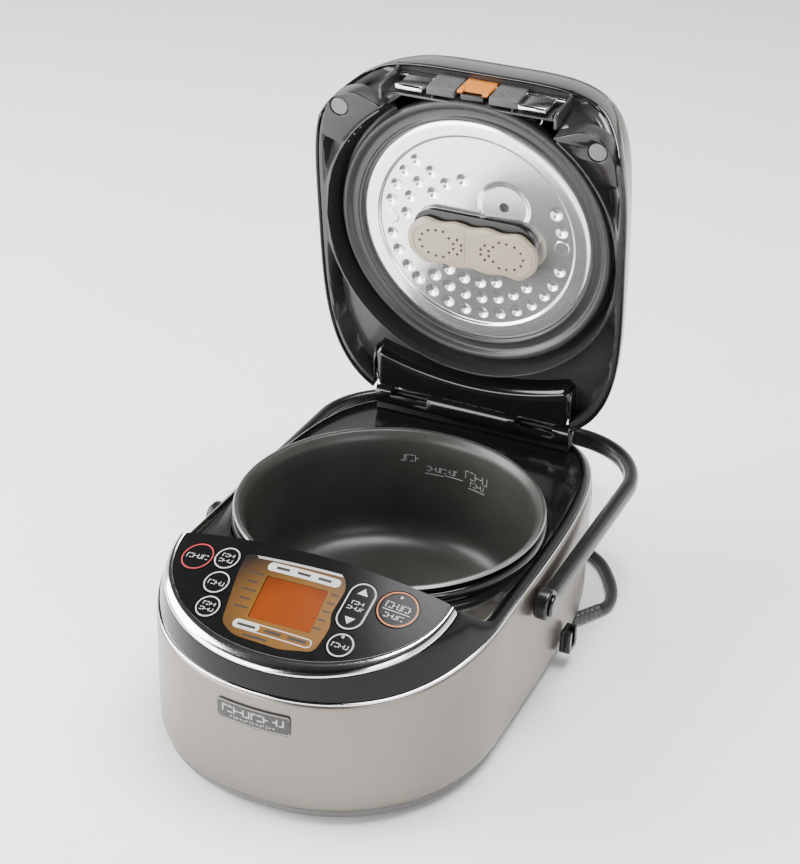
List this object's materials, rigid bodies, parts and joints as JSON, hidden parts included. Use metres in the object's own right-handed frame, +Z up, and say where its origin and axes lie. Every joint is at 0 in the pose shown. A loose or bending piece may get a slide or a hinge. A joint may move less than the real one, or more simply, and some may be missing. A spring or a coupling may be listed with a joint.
{
  "type": "rice cooker",
  "caption": "Pressure rice cooker with an open hinged lid, removable inner lid and pot, sloping key console, carry handle and coiled mains cord.",
  "frame": {"origin": "on the floor under the middle of the footprint, measured without the free cord", "axes": "+X to the right as seen from the console side, +Y to the rear, where the lid's hinge is, +Z up"},
  "size_m": [0.2686, 0.5048, 0.3981],
  "materials": {
    "champagne": "satin champagne metallic paint",
    "chrome": "bright polished",
    "gloss_black": "high gloss",
    "satin_black": "fine satin",
    "dark_grey": "fine satin",
    "rubber": "matte",
    "non_stick": "satin non-stick coating on metal",
    "steel": "polished to satin",
    "amber": "gloss, graded amber print",
    "orange_glass": "gloss display window",
    "orange": "satin",
    "beige": "satin",
    "board": "circuit board",
    "copper": "lacquered copper litz winding",
    "aluminium": "satin"
  },
  "bodies": {
    "body": {"base_tray": "dark_grey", "foot_front_left": "rubber", "foot_rear_left": "rubber", "foot_front_right": "rubber", "foot_rear_right": "rubber", "outer_casing": "champagne", "casing_top_trim": "chrome", "shoulder_frame": "gloss_black", "top_deck": "gloss_black", "control_panel": "gloss_black", "panel_trim": "chrome", "display_lens": "amber", "lcd_window": "orange_glass", "control_board": "board", "badge": "dark_grey", "inner_liner": "aluminium", "pot_seat_ring": "gloss_black", "induction_coil": "copper", "ferrite_core": "dark_grey", "heat_sink": "aluminium", "power_board": "board", "fan_frame": "satin_black", "hinge_support": "satin_black", "hinge_pin": "steel", "lid_spring": "steel", "latch_catch": "steel", "handle_pivot_left": "gloss_black", "handle_pivot_right": "gloss_black", "spatula_holder_mount": "satin_black", "cord_strain_relief": "rubber", "cord_lead": "rubber", "cord_coil": "rubber", "cord_tail": "rubber", "mains_plug": "rubber"},
    "lid": {"lid_shell": "gloss_black", "lid_top_plate": "champagne", "lid_inner_frame": "satin_black", "lid_heater_plate": "aluminium", "arrow_block_left": "dark_grey", "arrow_block_right": "dark_grey", "steam_vent_base": "satin_black"},
    "latch": {"lid_latch": "chrome"},
    "lever": {"release_lever": "orange"},
    "button": {"open_button": "chrome"},
    "inner_lid": {"inner_lid_plate": "steel", "inner_lid_gasket": "rubber", "valve_base": "satin_black", "valve_cover": "beige"},
    "steam_cap": {"steam_vent_cap": "satin_black"},
    "pot": {"inner_pot": "non_stick"},
    "handle": {"carry_handle": "satin_black"},
    "sensor": {"centre_sensor": "aluminium"},
    "fan": {"fan_rotor": "satin_black"},
    "key_cancel": {"key_cancel": "gloss_black"},
    "key_rinse_free": {"key_rinse_free": "gloss_black"},
    "key_menu": {"key_menu": "gloss_black"},
    "key_keep_warm": {"key_keep_warm": "gloss_black"},
    "key_timer": {"key_timer": "gloss_black"},
    "key_start": {"key_start": "gloss_black"},
    "key_time_rocker": {"key_time_rocker": "gloss_black"}
  },
  "joints": [
    {"name": "lid_hinge", "type": "hinge", "parent": "body", "child": "lid", "pos_m": [0, 0.1438, 0.1264], "axis": [-1, 0, 0], "range_deg": [-82.4, 0], "stiffness_Nm_per_rad": 0.35, "springref_deg": 57.3},
    {"name": "open_button_press", "type": "slide", "parent": "lid", "child": "button", "axis": [0, -0.9912, -0.1323], "range_m": [0, 0.004], "stiffness_N_per_m": 900},
    {"name": "latch_turn", "type": "hinge", "parent": "lid", "child": "latch", "pos_m": [0, 0.12961, 0.38853], "axis": [1, 0, 0], "range_deg": [0, 6.1]},
    {"name": "release_lever_turn", "type": "hinge", "parent": "lid", "child": "lever", "pos_m": [0, 0.12961, 0.38853], "axis": [-1, 0, 0], "range_deg": [0, 6], "stiffness_Nm_per_rad": 0.2},
    {"name": "inner_lid_pull", "type": "slide", "parent": "lid", "child": "inner_lid", "axis": [0, -0.9912, -0.1323], "range_m": [0, 0.08]},
    {"name": "steam_cap_pull", "type": "slide", "parent": "lid", "child": "steam_cap", "axis": [0, 0.9912, 0.1323], "range_m": [0, 0.04]},
    {"name": "pot_lift", "type": "slide", "parent": "body", "child": "pot", "axis": [0, 0, 1], "range_m": [0, 0.37]},
    {"name": "handle_swing", "type": "hinge", "parent": "body", "child": "handle", "pos_m": [0, -0.0297, 0.091], "axis": [1, 0, 0], "range_deg": [0, 14]},
    {"name": "sensor_press", "type": "slide", "parent": "body", "child": "sensor", "axis": [0, 0, 1], "range_m": [-0.002, 0], "stiffness_N_per_m": 500},
    {"name": "fan_spin", "type": "hinge", "parent": "body", "child": "fan", "pos_m": [0, -0.1637, 0.02], "axis": [0, 0, 1], "continuous": true},
    {"name": "cancel_press", "type": "slide", "parent": "body", "child": "key_cancel", "axis": [0, 0, -1], "range_m": [0, 0.0006], "stiffness_N_per_m": 1500},
    {"name": "rinse_free_press", "type": "slide", "parent": "body", "child": "key_rinse_free", "axis": [0, 0, -1], "range_m": [0, 0.0006], "stiffness_N_per_m": 1500},
    {"name": "menu_press", "type": "slide", "parent": "body", "child": "key_menu", "axis": [0, 0, -1], "range_m": [0, 0.0006], "stiffness_N_per_m": 1500},
    {"name": "keep_warm_press", "type": "slide", "parent": "body", "child": "key_keep_warm", "axis": [0, 0, -1], "range_m": [0, 0.0006], "stiffness_N_per_m": 1500},
    {"name": "timer_press", "type": "slide", "parent": "body", "child": "key_timer", "axis": [0, 0, -1], "range_m": [0, 0.0006], "stiffness_N_per_m": 1500},
    {"name": "start_press", "type": "slide", "parent": "body", "child": "key_start", "axis": [0, 0, -1], "range_m": [0, 0.0006], "stiffness_N_per_m": 1500},
    {"name": "time_rocker_tilt", "type": "hinge", "parent": "body", "child": "key_time_rocker", "pos_m": [0.0421, -0.1508, 0.134], "axis": [1, 0, 0], "range_deg": [-2, 2], "stiffness_Nm_per_rad": 0.3}
  ],
  "couplings": [
    {"joint": "latch_turn", "follows": "open_button_press", "rad_per_m": 26.18}
  ]
}
